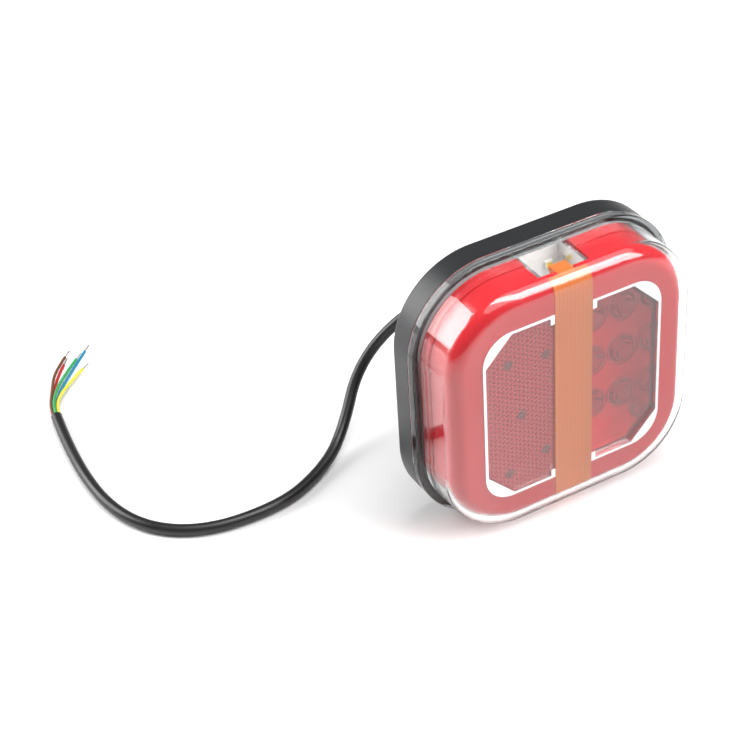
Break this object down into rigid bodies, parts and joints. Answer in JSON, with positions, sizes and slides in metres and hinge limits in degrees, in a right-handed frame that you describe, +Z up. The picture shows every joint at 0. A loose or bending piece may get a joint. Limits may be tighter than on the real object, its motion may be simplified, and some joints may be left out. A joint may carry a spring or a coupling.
{
  "type": "trailer tail light",
  "caption": "Square combination tail light for a trailer: black housing, clear cover over red and amber lenses with chrome bezels, rear studs and a free five-core cable.",
  "frame": {"origin": "centre of the lamp's width and of its depth with the studs, on the plane its bottom edge stands on, without the cable", "axes": "+X to the right seen from the front, +Y to the back, +Z up; the clear front faces -Y"},
  "size_m": [0.1888, 0.1859, 0.1],
  "materials": {
    "housing_black": "satin moulded",
    "cover_clear": "clear polished",
    "seal_rubber": "moulded",
    "seal_silicone": "milky, cured in place",
    "lens_red": "clear red polished",
    "lens_amber": "clear amber polished",
    "bezel_chrome": "vacuum metallised",
    "tray_white": "moulded",
    "optic_clear": "clear polished",
    "board_white": "solder mask",
    "resin_black": "cast",
    "steel": "zinc plated",
    "led_white": "moulded",
    "chip_black": "moulded",
    "can_aluminium": "drawn can",
    "cord_black": "satin extruded",
    "core_brown": "extruded",
    "core_red": "extruded",
    "core_green": "extruded",
    "core_blue": "extruded",
    "core_yellow": "extruded",
    "copper_tinned": "tinned copper"
  },
  "bodies": {
    "root": {"rear_housing": "housing_black", "outer_cover": "cover_clear", "lens_seal": "seal_silicone", "red_light_guide": "lens_red", "amber_strip": "lens_amber", "left_bezel": "bezel_chrome", "right_bezel": "bezel_chrome", "potting_resin": "resin_black", "reflex_reflector": "lens_red", "brake_lens": "lens_red", "reflector_tray": "tray_white", "plate_lamp_reflector": "bezel_chrome", "brake_collimators": "optic_clear", "main_circuit_board": "board_white", "board_screws": "steel", "tail_leds": "led_white", "brake_leds": "led_white", "indicator_leds": "led_white", "plate_leds": "led_white", "driver_chips": "chip_black", "protection_diodes": "chip_black", "resistors": "chip_black", "filter_capacitor": "can_aluminium", "solder_joints": "steel", "inner_leads": "cord_black", "mounting_studs": "steel", "cable_gland": "seal_rubber", "cord_sheath": "cord_black", "core_brown": "core_brown", "core_red": "core_red", "core_green": "core_green", "core_blue": "core_blue", "core_yellow": "core_yellow", "core_tips": "copper_tinned"}
  },
  "joints": []
}
